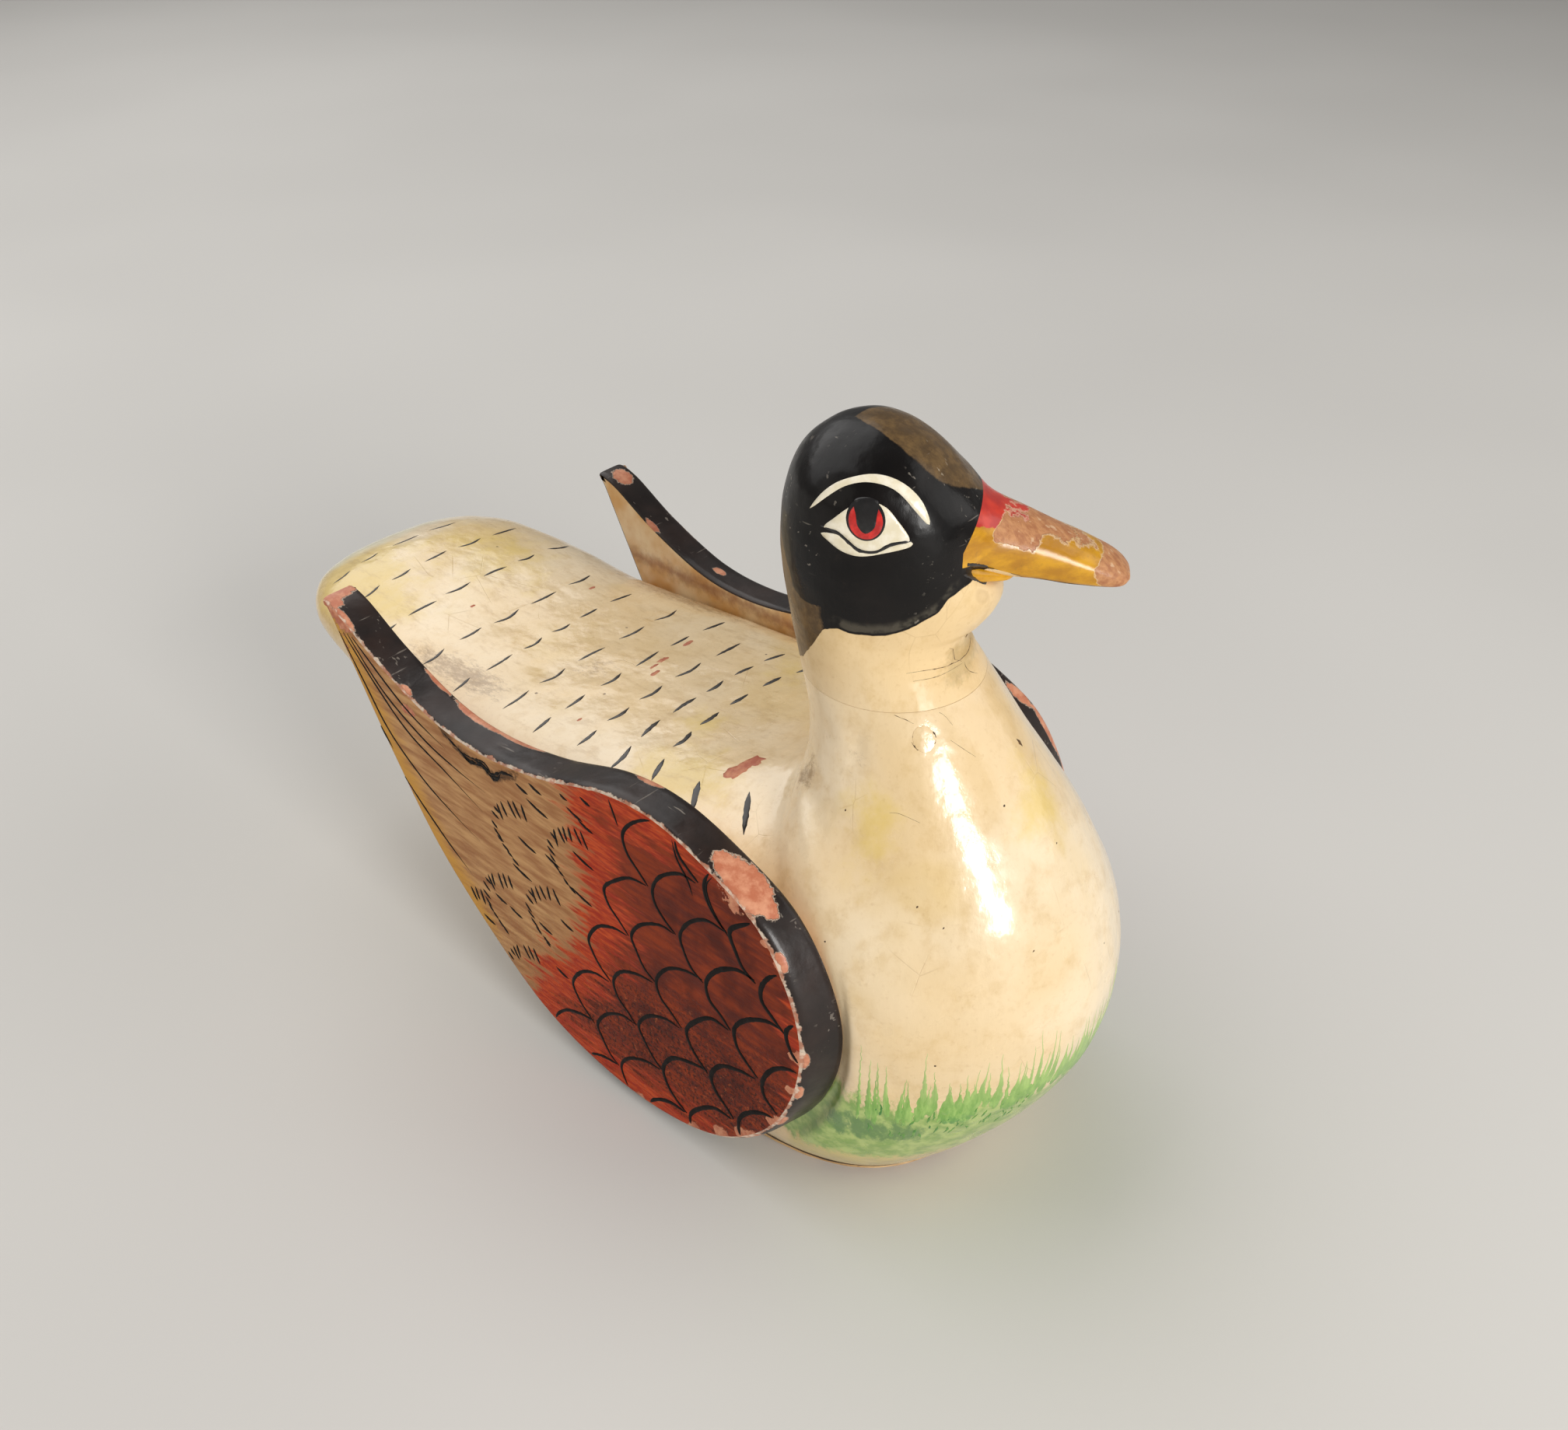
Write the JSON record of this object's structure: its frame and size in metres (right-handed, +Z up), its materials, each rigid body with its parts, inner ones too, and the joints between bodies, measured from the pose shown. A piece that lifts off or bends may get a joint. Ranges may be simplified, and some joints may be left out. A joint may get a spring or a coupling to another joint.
{
  "type": "duck decoy",
  "caption": "Hand-painted wooden duck decoy with a turning head on a dowel, board wings, a ballasted bottom board and a folding line-tie ring.",
  "frame": {"origin": "middle of the outer size at the underside that the decoy stands on", "axes": "+Z up; the breast points along -Y and the tail along +Y; +X is the duck's left"},
  "size_m": [0.0956, 0.232, 0.1672],
  "materials": {
    "painted_body": "aged cream gloss paint over wood",
    "painted_wing": "aged gloss paint over wood, black rim and red-brown face",
    "painted_head": "black gloss paint over wood, cream throat",
    "painted_bill": "chipped yellow and red gloss paint over wood",
    "bare_wood": "bare, oiled",
    "bedding": "dark bedding compound",
    "brass": "dulled",
    "steel": "plain wire",
    "ballast_iron": "as cast"
  },
  "bodies": {
    "decoy": {"body_shell": "painted_body", "bottom_board": "bare_wood", "board_seal": "bedding", "board_screws": "brass", "wing_left": "painted_wing", "wing_right": "painted_wing", "wing_pegs_left": "bare_wood", "wing_pegs_right": "bare_wood", "dowel_washer": "brass", "neck_peg": "painted_body", "ballast_weight": "ballast_iron", "ballast_screws": "brass", "line_tie_staple": "brass"},
    "head": {"head": "painted_head", "bill": "painted_bill", "lower_bill": "painted_bill", "bill_peg": "bare_wood", "head_dowel": "bare_wood", "dowel_pin": "steel"},
    "tie_ring": {"line_tie_ring": "brass"}
  },
  "joints": [
    {"name": "head_turn", "type": "hinge", "parent": "decoy", "child": "head", "pos_m": [0, -0.0625, 0.115], "axis": [0, 0, 1], "range_deg": [-128, 52]},
    {"name": "line_tie_swing", "type": "hinge", "parent": "decoy", "child": "tie_ring", "pos_m": [0, -0.072, 0.0032], "axis": [1, 0, 0], "range_deg": [-110, 0]}
  ]
}
